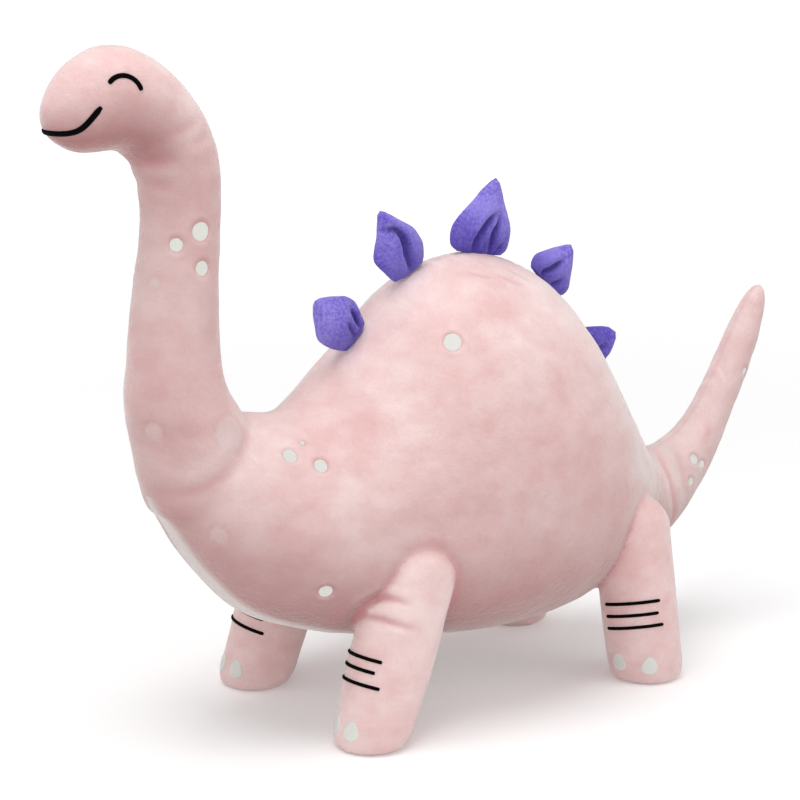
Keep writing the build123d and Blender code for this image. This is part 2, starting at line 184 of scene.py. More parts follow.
TAIL = [
    (118, 87, 33, 92), (141, 85, 29, 82), (160, 91, 22, 66), (178, 103, 17, 50), (192, 119, 13.9, 36),
    (204, 138, 12.0, 30), (215, 158, 10.4, 28), (224, 177, 9.1, 26), (231, 192, 7.1, 26), (234.5, 199, 4.6, 26),
]
trunk = bag("trunk", [egg(*row) for row in between(TRUNK, 70)], (0, -183.5, 143), (0, 153, 96), around=72)
neck_rings = [hoop(*row, -1) for row in between(NECK_HEAD, 80)]
neck_head = bag("neck_head", neck_rings, (0, -146, 126), (0, -233.3, 323.4))
tail = bag("tail", [hoop(*row, 1) for row in between(TAIL, 50)], (0, 112, 88), (0, 236.5, 202.5))
print("bags:", trunk.name, neck_head.name, tail.name)

# %% [markdown]
# ## Four stubby legs
# A leg is a short closed bag with a flat sole. It leans out a little, and the front pair also leans
# forward. Each leg is drawn once on the left side, and its twin is made by turning x round.

# %% Legs
# hip (x, y, z), middle of the sole (x, y), radius at the hip and at the foot, toes turned out
LEGS = {
    "front": ((55, -57.5, 89), (57, -88.2), 23.0, 20.6, 0),
    "hind": ((57, 88, 86), (60, 98.5), 21, 20.4, 30),
}


# how much fatter a leg is halfway up
LEG_BULGE = 0.8


def level_ring(x, y, z, radius, side):
    """A level circle on the left side, or turned round to the right."""
    return lambda angle: (side * (x + radius * math.cos(angle)), y + radius * math.sin(angle), z)


def leg_rings(kind, side):
    """The level rings of one leg, from its domed top down to its sole."""
    (hip_x, hip_y, hip_z), (foot_x, foot_y), hip_r, foot_r, _ = LEGS[kind]
    levels = [(hip_z + hip_r * math.sin(t), hip_r * math.cos(t)) for t in np.radians([80, 65, 50, 35, 20, 8])]
    for z in np.linspace(hip_z, 6, 14):
        levels.append((z, foot_r + (hip_r - foot_r) * z / hip_z + LEG_BULGE * math.sin(math.pi * z / hip_z)))
    levels += [(3.5, foot_r - 0.5), (1.5, foot_r - 1.8), (0.3, foot_r - 3.6)]
    levels += [(0, foot_r - 8), (0, foot_r * 0.3)]
    rings = []
    for z, radius in levels:
        share = min(z, hip_z) / hip_z
        x, y = foot_x + (hip_x - foot_x) * share, foot_y + (hip_y - foot_y) * share
        rings.append(level_ring(x, y, z, radius, side))
    return rings, (side * hip_x, hip_y, hip_z + hip_r), (side * foot_x, foot_y, 0)


legs = {}
for kind in LEGS:
    for name, side in (("left", 1), ("right", -1)):
        rings, top, bottom = leg_rings(kind, side)
        leg = bag(f"{kind}_leg_{name}", rings, top, bottom, around=40)
        if side < 0:
            only(leg)
            bpy.ops.object.mode_set(mode="EDIT")
            bpy.ops.mesh.select_all(action="SELECT")
            bpy.ops.mesh.normals_make_consistent(inside=False)
            bpy.ops.object.mode_set(mode="OBJECT")
        legs[leg.name] = leg
print("legs:", ", ".join(legs))

# %% [markdown]
# ## One skin from seven bags
# Before they are joined, each bag is kept as a shape to measure distance from. A point that is close to two
# bags at once lies on the line where they are sewn together, and that is where a crease goes later.
# The voxel remesh then melts the bags into one even skin, and Smooth rounds the corners
# between them as stretched cloth does.

# %% Join, remesh and smooth
def surface_of(piece):
    """A search tree over a piece's faces."""
    return BVHTree.FromObject(piece, bpy.context.evaluated_depsgraph_get())


bpy.context.view_layer.update()
shapes = {piece.name: surface_of(piece) for piece in (trunk, neck_head, tail, *legs.values())}
only(trunk, neck_head, tail, *legs.values())
bpy.ops.object.join()
body = bpy.context.object
body.name = "body"
remesh = body.modifiers.new("even mesh", "REMESH")
remesh.mode = "VOXEL"
remesh.voxel_size = 1.6 * MM
bpy.ops.object.modifier_apply(modifier=remesh.name)
smooth = body.modifiers.new("stretched cloth", "SMOOTH")
smooth.factor = 0.5
smooth.iterations = 22
bpy.ops.object.modifier_apply(modifier=smooth.name)
print("skin has", len(body.data.polygons), "faces")

# %% [markdown]
# ## Seams and creases
# A seam pulls the cloth in, and the filling swells again beside it. The next cells add up how far every point
# of the skin goes along its normal: in along seams, in and out beside creases, and by a soft random
# amount everywhere, because loose fibre never lies quite evenly. These helpers measure how far a point
# is from a path or from a bag.

# %% Distances, grooves and lumps
def path_distance(places, path):
    """How far each point is from a line through the path's points, and its share of the way along."""
    path = np.array(path, float)
    lengths = np.linalg.norm(np.diff(path, axis=0), axis=1)
    before = np.concatenate([[0], np.cumsum(lengths)])
    best, share = np.full(len(places), 1e9), np.zeros(len(places))
    for number, (a, b) in enumerate(zip(path[:-1], path[1:])):
        t = np.clip((places - a) @ (b - a) / lengths[number] ** 2, 0, 1)
        gap = np.linalg.norm(places - a - t[:, None] * (b - a), axis=1)
        nearer = gap < best
        best[nearer] = gap[nearer]
        share[nearer] = ((before[number] + t * lengths[number]) / before[-1])[nearer]
    return best, share


def crease(places, path, width, depth):
    """How deep each point sinks: a groove with two soft lips that fades out at both ends."""
    gap, share = path_distance(places, path)
    fade = np.sin(np.pi * np.clip(share, 0.02, 0.98)) ** 0.6
    return depth * fade * (np.exp(-((gap / width) ** 2)) - 0.3 * np.exp(-(((gap - 2.3 * width) / width) ** 2)))


def distance_to(name, places):
    """Distance of each point from one of the bags, in mm."""
    tree = shapes[name]
    return np.array([tree.find_nearest(Vector(place) * MM)[3] for place in places]) / MM


def lumps(places, size, seed):
    """A smooth random number between about -1 and 1 for each point, with swells of the given size in mm."""
    shift = Vector((seed * 17.3, seed * 5.1, seed * 9.7))
    return np.array([noise.noise(Vector(place) / size + shift) for place in places])


print("helpers: path_distance, crease, distance_to, lumps")

# %% [markdown]
# ## The sewn seams
# Each leg is sewn into the body on a closed ring, which pulls in hardest at the armpit. The two sides meet in
# a seam along the spine, with small puckers beside it, and a long panel is let in along the belly. The ring
# is found from two distances: a point as far from the leg's bag as from the trunk's lies on the seam.

# %% Sink the seams
# depth of the seam round a leg, at two heights
SEAM_DEPTH = {"front": ([80, 100], [1.5, 0.7]), "hind": ([60, 95], [1.3, 0.5])}
# the belly panel's half width at each y
PANEL_EDGE = [-185, -150, -100, -40, 40, 100, 150], [3, 15, 25, 34, 36, 30, 8]
skin_places = coordinates(body) / MM
x, y, z = skin_places.T
left = np.column_stack([np.abs(x), y, z])
whole_skin = surface_of(body)
trunk_gap = distance_to("trunk", skin_places)
sink = np.zeros(len(skin_places))
for name in legs:
    kind, side = name.split("_")[0], 1 if name.endswith("left") else -1
    near = (side * x > 10) & (z < 120) & ((y < 20) if kind == "front" else (y > 20))
    leg_gap = distance_to(name, skin_places[near])
    seam = np.exp(-(((trunk_gap[near] - leg_gap) / 2.2) ** 2)) * (np.maximum(trunk_gap[near], leg_gap) < 9)
    sink[near] += np.interp(z[near], *SEAM_DEPTH[kind]) * seam

# the spine seam, and the two lines where the belly panel is set in
on_back = (np.abs(x) < 14) & (z > 100) & (y > -150)
sink += on_back * np.interp(y, [-40, 0], [0.1, 0.4]) * np.exp(-((x / 1.3) ** 2))
pucker = np.sin(2 * np.pi * y / 6.5 + 3 * lumps(skin_places, 12, 4))
beside_seam = np.exp(-(((np.abs(x) - 5) / 4) ** 2))
sink += (on_back & (y > -30)) * 0.3 * pucker * beside_seam * (lumps(skin_places, 30, 6) + 0.4)
panel_edge = np.interp(y, *PANEL_EDGE)
below = ((z < 90) | (y < -140)) & (y < 150) & (z < 135)
sink += below * 0.3 * np.exp(-(((np.abs(x) - panel_edge) / 1.4) ** 2))
panel = below * np.clip((panel_edge - np.abs(x)) / 5 + 0.5, 0, 1)
print("points on the belly panel:", int(panel.sum()))

# %% [markdown]
# ## Creases in the cloth
# Cloth folds where a limb leaves the body and where the back bends under the plates. Each crease is a
# short path near the left side, laid on the skin, and sinks there and at its mirror image. All
# the grooves together are held to about two millimetres, as a full bag doesn't fold deeper.

# %% Creases
CREASES = [
    # path on the left side, width, depth
    ([(19, -136, 169), (27, -143, 161), (31, -153, 151), (29, -166, 143), (19, -177, 139), (8, -182, 138)],
     3.4, 0.5),
    ([(44, -90, 64), (50, -90, 71), (56, -87, 77), (61, -80, 79), (68, -70, 77)], 2.0, 1.9),
    ([(42, -89, 61), (47, -89, 66), (53, -85, 68), (60, -79, 67), (67, -75, 66), (71, -70, 64)], 1.8, 1.5),
    ([(34, -96, 60), (44, -98, 72), (52, -98, 84)], 4.0, 0.5),
    ([(46, 112, 92), (40, 126, 98), (28, 136, 108)], 3.0, 0.6),
    ([(4, 150, 118), (22, 148, 106), (27, 146, 88), (20, 146, 66)], 3.0, 1.0),
    ([(4, 162, 113), (17, 160, 104), (22, 156, 88)], 2.6, 0.5),
    ([(12, 186, 126), (15, 184, 118), (15, 178, 110)], 2.4, 0.4),
    ([(19, -160, 322), (22, -166, 320), (22, -177, 317)], 2.8, 0.5),
    ([(17, -154, 315), (21, -162, 313), (22, -169, 311)], 2.4, 0.5),
    ([(3, -186, 303), (13, -180, 303), (18, -172, 306)], 3.0, 0.7),
    ([(2, -182, 292), (12, -178, 291), (17, -170, 292)], 2.6, 0.4),
    ([(18, 2, 231), (22, 10, 229), (23, 16, 227)], 1.8, 0.7),
    ([(20, 18, 227), (24, 26, 223), (25, 33, 220)], 1.8, 0.6),
    ([(14, 28, 233), (19, 36, 227), (21, 42, 222)], 1.8, 0.5),
]
for path, width, depth in CREASES:
    dense = between(path, 4 * len(path))
    laid = [np.array(whole_skin.find_nearest(Vector(place) * MM)[0]) / MM for place in dense]
    sink += crease(left, laid, width, depth)
DEEPEST = 2.1
sink = DEEPEST * np.tanh(sink / DEEPEST)
print("deepest seam", round(float(sink.max()), 1), "mm")

# %% [markdown]
# ## Places for the embroidery
# Every spot is a small stitched pad. The stitches pull the plush down round their edge, so the skin sinks
# in a ring there. The same list places the pads later.

# %% Spots
# left side x, y, z and radius, in mm; the stitched pads are mirrored on the right side
SPOTS = {
    "torso": [(44, -26, 203, 5.2), (32.5, -119, 153, 4.2), (40, -105, 148, 4.0), (28, -108, 158, 1.8),
              (51, -110, 85, 4.0)],
    "neck": [(20, -160, 269, 4.9), (16, -172, 263, 3.7), (20, -160, 251, 3.9)],
    "tail": [(16, 171, 105, 3.2), (16, 177, 101, 2.8), (19, 166, 93, 2.8), (10, 216, 151, 2.4)],
}
# rounds that are only pressed into the pile, with no stitching
PRESSED = [(28, -150, 168, 9.5), (14, -186, 171, 5), (31, -160, 118, 4.7), (10, -181, 244, 3.4)]
worn = np.zeros(len(sink))
for spots in SPOTS.values():
    for *middle, radius in spots:
        reach = np.linalg.norm(left - np.array(middle), axis=1)
        dip = 1.0 / (1 + np.exp((reach - radius - 0.2) / 0.35))
        lip = 0.3 * np.exp(-(((reach - radius - 1.8) / 1.0) ** 2))
        sink += dip - lip
for *middle, radius in PRESSED:
    reach = np.linalg.norm(left - np.array(middle), axis=1)
    sink += 0.25 * np.exp(-(((reach - radius) / 0.9) ** 2))
    worn += 0.35 * (reach < radius)
print("spots:", sum(map(len, SPOTS.values())), "on each side")

# %% [markdown]
# ## Press the seams in, and mark the painted shade
# The skin moves now, once, by all that was added up. Four marks stay on the mesh for the material: how deep a
# point lies in a fold, which is painted shade there; how much painted shade a point gets, more where it faces
# down, on the belly panel and on the lower cheeks, and less on the legs and tail; where the pile is paler,
# which is partly painted sheen; and the smooth normal of the whole skin.

# %% Move the skin and store the marks
stuffing = 0.9 * lumps(skin_places, 34, 1) + 0.35 * lumps(skin_places, 13, 2)
grown = skin_places + normals_of(body) * (stuffing - sink)[:, None]
grown[:, 2] = np.maximum(grown[:, 2], 0)
grown[z < 0.8, 2] = 0
move_to(body, grown * MM)
smooth = body.modifiers.new("soft creases", "SMOOTH")
smooth.factor = 0.4
smooth.iterations = 1
bpy.ops.object.modifier_apply(modifier=smooth.name)
# painted shade: seams, creases and spot dips are darkened in the material by this mark
fold = body.data.attributes.new("fold", "FLOAT", "POINT")
fold.data.foreach_set("value", np.clip(sink / 1.6, 0, 1).astype(np.float32))
nap = body.data.attributes.new("nap", "FLOAT", "POINT")
limb_gap = np.full(len(sink), 99.0)
for name in legs:
    close = z < 115
    limb_gap[close] = np.minimum(limb_gap[close], distance_to(name, skin_places[close]))
limb = np.clip(1.4 - limb_gap / 4, 0, 1) * (trunk_gap > 1) + (y > 165) * 0.2
# painted shade: darker where the skin faces down and on the belly panel, less on the legs and tail
shade_share = np.clip(0.5 - 0.62 * normals_of(body)[:, 2] + 0.3 * panel, 0, 1) * (1 - 0.7 * np.clip(limb, 0, 1))
# painted shade on the lower cheeks
cheek_shade = np.clip((340 - z) / 25, 0, 1) * np.clip((z - 295) / 15, 0, 1) * np.clip((-165 - y) / 15, 0, 1)
nap.data.foreach_set("value", np.clip(shade_share + 0.14 * cheek_shade, 0, 1).astype(np.float32))
# paler, greyer pile: the belly panel is partly a real paler panel and partly painted sheen, the pressed rounds
# are real, and the greyish-white rump patches are painted sheen
greyed = body.data.attributes.new("greyed", "FLOAT", "POINT")
sheen_patchiness = np.clip(0.55 + 0.9 * lumps(skin_places * [1, 1.6, 0.7], 15, 9), 0, 1)
rump_sheen = np.interp(y, [45, 110, 170, 195], [0, 0.6, 0.6, 0]) * sheen_patchiness
rump_sheen *= (limb_gap > 4) * np.clip(z / 60 - 0.6, 0, 1)
greyed.data.foreach_set("value", np.clip(np.maximum.reduce([panel, worn, rump_sheen]), 0, 1).astype(np.float32))
whole = body.data.attributes.new("whole_normal", "FLOAT_VECTOR", "POINT")
whole.data.foreach_set("vector", normals_of(body).astype(np.float32).ravel())
skin = surface_of(body)
print("marks on the skin:", ", ".join(mark.name for mark in (fold, nap, greyed, whole)))

# %% [markdown]
# ## Cut the skin where the toy bends
# One skin can't follow many bodies, so each face is given to the part of the toy that it moves
# with, and Separate makes one piece of each. The pieces keep the normals of the whole skin, so the cuts
# don't show.

# %% Sort the faces
ZONES = ["torso_sides", "belly_panel", "neck", "head", "tail", *legs]
polygons = body.data.polygons
middles = np.empty(len(polygons) * 3)
polygons.foreach_get("center", middles)
x, y, z = middles.reshape(-1, 3).T / MM
middles = np.column_stack([x, y, z])
zone = np.zeros(len(polygons), int)
panel_edge = np.interp(y, *PANEL_EDGE)
zone[(np.abs(x) < panel_edge) & (z < 135) & ((z < 90) | (y < -140))] = 1
NECK_CUT, NECK_WAY = np.array([0, -160, 150]), np.array([0, -0.634, 0.775])
TAIL_CUT, TAIL_WAY = np.array([0, 148, 90]), np.array([0, 0.85, 0.53])
HEAD_LEVEL = 275
zone[((middles - NECK_CUT) @ NECK_WAY > 0) & (y < -100)] = 2
zone[(z > HEAD_LEVEL) & (y < -100)] = 3
zone[((middles - TAIL_CUT) @ TAIL_WAY > 0) & (y > 110)] = 4
LEG_CUTS = {}
for number, name in enumerate(legs, 5):
    kind, side = name.split("_")[0], 1 if name.endswith("left") else -1
    (hip_x, hip_y, hip_z), (foot_x, foot_y), hip_r, _, _ = LEGS[kind]
    cut, way = np.array([side * 54, hip_y, 66]), np.array([side * 0.855, 0, -0.52])
    LEG_CUTS[name] = cut, way
    axis = [(side * hip_x, hip_y, hip_z), (side * foot_x, foot_y, 0)]
    zone[(path_distance(middles, axis)[0] < hip_r + 3.5) & ((middles - cut) @ way > 0)] = number
for name in ZONES:
    body.data.materials.append(bpy.data.materials.new(name))
polygons.foreach_set("material_index", zone.astype(np.int32))
only(body)
bpy.ops.object.mode_set(mode="EDIT")
bpy.ops.mesh.select_all(action="SELECT")
bpy.ops.mesh.separate(type="MATERIAL")
bpy.ops.object.mode_set(mode="OBJECT")
parts = {}
for piece in list(bpy.context.selected_objects):
    piece.name = piece.data.name = "plush_" + piece.data.materials[0].name
    parts[piece.data.materials[0].name] = piece
    piece.data.materials.clear()
    kept = np.empty(len(piece.data.vertices) * 3, np.float32)
    piece.data.attributes["whole_normal"].data.foreach_get("vector", kept)
    piece.data.polygons.foreach_set("use_smooth", np.ones(len(piece.data.polygons), bool))
    piece.data.normals_split_custom_set_from_vertices(kept.reshape(-1, 3))
print({name: len(piece.data.polygons) for name, piece in parts.items()})

# %% [markdown]
# ## Plates along the back
# A plate is a small stuffed leaf with a sewn edge. Its outline is a table of widths from root to tip, its
# section is a lens, and the folds are creases drawn on its two faces. Each leaf is bent a little sideways,
# because soft leaves never stand quite flat.

# %% Stuffed leaves
LEAF_RINGS = 56


def leaf(name, rows, tip, folds, place, spine_way, out_way, curl):
    """rows: height, front edge, back edge and half thickness in mm; the front edge is towards the head."""
    table = between(rows, LEAF_RINGS)
    rings = []
    for height, front, back, thick in reversed(table):
        def ring(angle, height=height, front=front, back=back, thick=thick):
            across, side = math.cos(angle), math.sin(angle)
            lens = math.copysign(abs(side) ** 1.35, side)
            return (thick * lens, (front + back) / 2 + (back - front) / 2 * across, height)
        rings.append(ring)
    root = rows[0]
    piece = bag(name, rings, (0, tip[0], tip[1]), (0, (root[1] + root[2]) / 2, root[0] - 1.0), around=84)
    local = coordinates(piece) / MM
    inward = -np.sign(local[:, 0])
    moved = local.copy()
    sunk = np.zeros(len(local))
    for face, path, width, depth in folds:
        flat = local * [0, 1, 1]
        line = [(0, along, height) for along, height in path]
        groove = crease(flat, between(line, 4 * len(line)), width, depth)
        sunk += groove * (np.sign(local[:, 0]) == face)
    room = np.clip(np.abs(local[:, 0]) / 3, 0, 1)
    moved[:, 0] += inward * np.minimum(sunk * room, 0.75 * np.abs(local[:, 0]))
    moved[:, 0] += 0.5 * lumps(local, 7, len(name) + tip[1]) + curl * (local[:, 2] / tip[1]) ** 2
    moved[:, 1] += 0.5 * lumps(local[:, ::-1], 9, tip[1])
    spine_way, out_way = np.array(spine_way), np.array(out_way)
    world = np.array(place) + moved[:, :1] * [1, 0, 0] + moved[:, 1:2] * spine_way + moved[:, 2:] * out_way
    move_to(piece, world * MM)
    only(piece)
    bpy.ops.object.mode_set(mode="EDIT")
    bpy.ops.mesh.select_all(action="SELECT")
    bpy.ops.mesh.normals_make_consistent(inside=False)
    bpy.ops.object.mode_set(mode="OBJECT")
    piece.data.polygons.foreach_set("use_smooth", np.ones(len(piece.data.polygons), bool))
    # painted shade in the leaf's folds
    mark = piece.data.attributes.new("fold", "FLOAT", "POINT")
    mark.data.foreach_set("value", np.clip(sunk / 2, 0, 1).astype(np.float32))
    # painted shade, darker towards the plate's root
    base = piece.data.attributes.new("nap", "FLOAT", "POINT")
    base.data.foreach_set("value", np.clip(0.7 - local[:, 2] / tip[1], 0, 1).astype(np.float32))
    return piece


print("rings in a leaf:", LEAF_RINGS)

# %% [markdown]
# ## Five plates
# The plates differ in height, lean and folds, so each has its own outline. A plate stands on its joint: the
# joint's axis runs along the spine, and the leaf grows square to it.

# %% Plates
def joint_named(name):
    """The frame's own joint of that name."""
    return next(joint for joint in frame["joints"] if joint["name"] == name)


PLATES = {
    # rows of height, front edge, back edge, half thickness; then tip, folds, curl
    "plate_1": (
        [(-3, -9, 9.5, 2.6), (0, -11, 11, 3.8), (5, -13, 13, 5.8), (10, -14.2, 14.2, 6.6), (16, -14.1, 13, 6.4),
         (21, -11, 9.6, 5.4), (25.5, -7, 6.4, 4.2), (29, -3.4, 3.2, 2.8)], (0.1, 31),
        [(1, [(0, -2), (0.2, 3), (1, 7), (3.2, 11)], 1.6, 2.2),
         (1, [(5, 0), (6, 4), (7.4, 7.5), (8.9, 12)], 1.7, 3.2),
         (-1, [(-3, -2), (-2, 9), (-4, 18)], 1.8, 2.6)], 1.5),
    "plate_2": (
        [(-3, -9.5, 11, 2.6), (0, -11.4, 13.4, 3.8), (5, -13.4, 15.2, 5.4), (9.5, -14.8, 15.4, 6.2),
         (14.5, -15.4, 14.5, 6.2), (19, -13, 12.6, 5.6), (25, -8.4, 8.3, 4.6), (30, -5.6, 5.1, 3.8),
         (34, -3.2, 2.1, 2.8)], (-0.5, 36.3),
        [(1, [(0.7, -2), (0.3, 7), (2.1, 14.5), (3.1, 20), (0.5, 24.6), (-4.2, 27)], 1.9, 4.4),
         (1, [(3.8, -1), (4.4, 8), (5.4, 15), (5.4, 20)], 2.2, 2.4),
         (-1, [(-2, -2), (0, 10), (3, 20)], 1.8, 2.6)], 1.0),
    "plate_3": (
        [(-3, -15, 15.5, 3), (0, -19.2, 18.6, 4.4), (5, -20.2, 19.8, 5.8), (10, -20, 20.2, 6.2),
         (14.5, -17.6, 18.8, 6), (20, -13.2, 16, 5.4), (26, -8.2, 12.4, 4.6), (32, -3.2, 9.2, 3.6),
         (36, 0.6, 6.8, 2.6)], (4, 38.6),
        [(1, [(-5.4, -3), (-6.2, 4), (-2.4, 12), (2.2, 17.4), (5.6, 21)], 1.7, 3.6),
         (1, [(5.2, -3), (4.9, 7), (7, 14), (7.8, 20)], 1.7, 3.4), (1, [(0, -2), (1, 8), (4.5, 15)], 3.0, 1.8),
         (1, [(7.9, -3), (10.6, 1.6), (12.4, 4)], 1.4, 1.8),
         (-1, [(-3, -3), (-4, 10), (1, 22)], 1.8, 3.0)], 1.0),
    "plate_4": (
        [(-3, -14, 13, 2.6), (0, -15.8, 15.8, 3.6), (4, -16.2, 16.2, 5), (8, -14, 14, 5.4), (13, -9.8, 11, 5),
         (18, -5.6, 7.6, 4), (21.5, -2.4, 4.6, 3)], (1.2, 24.2),
        [(1, [(-4.6, -3), (-6.2, 0.2), (-4.4, 4.4), (-2.4, 9.2), (-1.4, 12.5)], 1.7, 3.2),
         (1, [(2, -3), (4.8, 1.4), (5.8, 4.5)], 1.6, 2.0), (-1, [(2, -3), (0, 8), (2, 14)], 1.6, 2.4)], -1.0),
    "plate_5": (
        [(-3, -11, 10.5, 2.4), (0, -13, 12.6, 3.4), (4, -13, 13.4, 4.6), (9, -10.3, 11.5, 4.8),
         (14, -7, 9, 4.2), (18, -3.6, 6.4, 3.2)], (2.3, 21),
        [(1, [(0, -2), (1, 6), (2, 11)], 1.6, 1.4), (-1, [(0, -2), (1, 6), (2, 11)], 1.6, 1.4)], 0.5),
}
for name, (rows, tip, folds, curl) in PLATES.items():
    joint = joint_named(f"{name}_flop")
    place = np.array(joint["pos_m"]) / MM
    spine_way = np.array(joint["axis"])
    out_way = np.cross([1, 0, 0], spine_way)
    parts[name] = leaf("plush_" + name, rows, tip, folds, place, spine_way, out_way, curl)
print("leaves:", ", ".join(PLATES))

# %% [markdown]
# ## Embroidery
# Satin stitch stands up from the plush in a rounded bar, and a filled spot is a low pad with a firm edge.
# Both are laid on the skin itself: each point is dropped on the nearest face of it, then lifted by the height
# of the thread.

# %% Stitched bars and pads
def on_skin(place):
    """The nearest point of the skin, and the way out of it averaged over a small patch."""
    spot = Vector(place) * MM
    nearest = skin.find_nearest(spot)[0]
    out = Vector()
    for shift in ((0, 0, 0), (1, 0, 0), (-1, 0, 0), (0, 1, 0), (0, -1, 0), (0, 0, 1), (0, 0, -1)):
        out += skin.find_nearest(nearest + Vector(shift) * 1.5 * MM)[1]
    return np.array(nearest) / MM, np.array(out.normalized())


def through(start, way):
    """Where a straight needle pushed from start meets the skin."""
    return np.array(skin.ray_cast(Vector(start) * MM, Vector(way).normalized())[0]) / MM


def finish_stitches(piece, along):
    """Smooth faces that point outwards, and the distance along the stitching as an attribute."""
    only(piece)
    bpy.ops.object.mode_set(mode="EDIT")
    bpy.ops.mesh.select_all(action="SELECT")
    bpy.ops.mesh.normals_make_consistent(inside=False)
    bpy.ops.object.mode_set(mode="OBJECT")
    piece.data.polygons.foreach_set("use_smooth", np.ones(len(piece.data.polygons), bool))
    mark = piece.data.attributes.new("along", "FLOAT", "POINT")
    mark.data.foreach_set("value", np.array(along, np.float32))
    return piece


def bar(name, path, width, rise=0.75):
    """A bar of satin stitch along a path on the skin."""
    path = between(path, 60)
    steps = np.linalg.norm(np.diff(path, axis=0), axis=1)
    before = np.concatenate([[0], np.cumsum(steps)])
    laid = [on_skin(place) for place in path]
    rings = []
    for number, (place, out) in enumerate(laid):
        ahead, behind = laid[min(number + 1, 59)][0], laid[max(number - 1, 0)][0]
        run = (ahead - behind) / np.linalg.norm(ahead - behind)
        across = np.cross(run, out)
        end = min(before[number], before[-1] - before[number])
        full = math.sqrt(max(0.4, 1 - max(0, 1 - end / (width * 0.4)) ** 2))
        def ring(angle, place=place, out=out, across=across, full=full):
            lift = rise * math.sin(angle) if math.sin(angle) > 0 else 0.9 * math.sin(angle)
            return place + across * width / 2 * full * math.cos(angle) + out * (lift * full + 0.15)
        rings.append(ring)
    piece = bag(name, rings, laid[0][0], laid[-1][0], around=14)
    share = path_distance(coordinates(piece) / MM, [place for place, _ in laid])[1]
    return finish_stitches(piece, share * before[-1])


def pad(name, middle, outline, up, rise=0.55):
    """A filled pad on the skin. outline turns an angle into two distances from the middle, in mm."""
    centre, out = on_skin(middle)
    right = np.cross(up, out)
    right /= np.linalg.norm(right)
    above = np.cross(out, right)
    def ring_at(share, lift):
        def ring(angle):
            a, b = outline(angle)
            place, way = on_skin(centre + right * a * share + above * b * share)
            return place + way * lift
        return ring
    top = [(share, rise * (0.75 + 0.25 * share**2)) for share in np.linspace(0.12, 0.86, 7)]
    rim = [(0.93, rise * 0.95), (0.98, rise * 0.6), (1.0, 0.1), (0.98, -0.5), (0.8, -0.7), (0.4, -0.7)]
    rings = [ring_at(*row) for row in top + rim]
    piece = bag(name, rings, centre + out * rise * 0.7, centre - out * 0.7, around=28)
    return finish_stitches(piece, (coordinates(piece) / MM - centre) @ (right * 0.5 + above * 0.86))


def joined(name, pieces):
    """Several pieces as one object."""
    only(*pieces)
    if len(pieces) > 1:
        bpy.ops.object.join()
    bpy.context.object.name = bpy.context.object.data.name = name
    return bpy.context.object


def disc(radius):
    """A spot that isn't quite round."""
    return lambda angle: (radius * math.cos(angle) * 0.94, radius * math.sin(angle) * 1.04)


print("helpers: bar, pad, disc, joined")

# %% [markdown]
# ## Spots and face
# The spots are filled pads on both sides. A closed eye is an arch of black satin stitch, and
# the smile is one long bar that runs round the muzzle and turns up at its corners.
# Straight needles from the side and from the front find where each stitch goes in.

# %% Spots, eyes and smile
# widths of the satin bars
EYE_THREAD, SMILE_THREAD, STRIPE_THREAD = 2.5, 2.9, 1.9
# where an eye's arch has its middle, its radius, and its first and last angle
EYE_Y, EYE_Z, EYE_RADIUS, EYE_SPAN = -201.5, 337.5, 8.6, (10, 142)
# half width of the smile, height of its middle, and how far the corners turn up
SMILE_HALF, SMILE_LOW, SMILE_RISE = 21.4, 319.5, 12.6
stitched = {}
for body_name, spots in SPOTS.items():
    pads = []
    for a, b, c, radius in spots:
        for side in (1, -1):
            pads.append(pad("spot", (side * a, b, c), disc(radius - 0.15), (0, 0.3, 1), rise=0.35))
    stitched[f"{body_name}_spots"] = joined(f"stitched_{body_name}_spots", pads)
for name, side in (("left", 1), ("right", -1)):
    arch = []
    for t in np.radians(np.linspace(*EYE_SPAN, 9)):
        start = (side * 60, EYE_Y + EYE_RADIUS * math.cos(t), EYE_Z + EYE_RADIUS * math.sin(t))
        arch.append(through(start, (-side, 0, 0)))
    stitched[f"eye_{name}"] = bar(f"stitched_eye_{name}", arch, EYE_THREAD)
smile = []
for a in np.linspace(-SMILE_HALF, SMILE_HALF, 21):
    height = SMILE_LOW + SMILE_RISE * (a / SMILE_HALF) ** 6
    smile.append(through((a, -300, height), (0, 1, 0)))
stitched["mouth"] = bar("stitched_mouth", smile, SMILE_THREAD)
print("on the body and face:", ", ".join(stitched))

# %% [markdown]
# ## Stripes and nails
# Three stripes go partly round each leg, square to a line that leans a little from the leg's own axis. Two
# nails stand on each foot, one on either side of the toe line. The needle starts inside
# the leg and comes out through the skin, so it can't miss.

# %% Stripes and nails
def leg_frame(kind, side):
    """The middle of a sole, the leg's own axis, and the way its toes point."""
    (hip_x, hip_y, hip_z), (foot_x, foot_y), _, _, turned = LEGS[kind]
    foot = np.array([side * foot_x, foot_y, 0])
    axis = np.array([side * hip_x, hip_y, hip_z]) - foot
    toes = np.array([side * math.sin(math.radians(turned)), -math.cos(math.radians(turned)), 0])
    return foot, axis / np.linalg.norm(axis), toes


def nail_outline(angle):
    """An egg with its blunt end down."""
    across, rise = math.cos(angle), math.sin(angle)
    return 4.6 * across * (1 - 0.22 * rise), (5.6 if rise > 0 else 4.6) * rise


# how far a nail is turned from the toe line, and the height of its middle
NAIL_TURN, NAIL_UP = math.radians(24), 12.2
# height along the leg, first and last angle round it from the toes, in degrees
STRIPES = {
    "front": [(31.7, -48, 48), (39.1, -42, 36), (45.3, -42, 42)],
    "hind": [(31.2, -37, 54), (38.3, -37, 48), (45.4, -38, 52)],
}
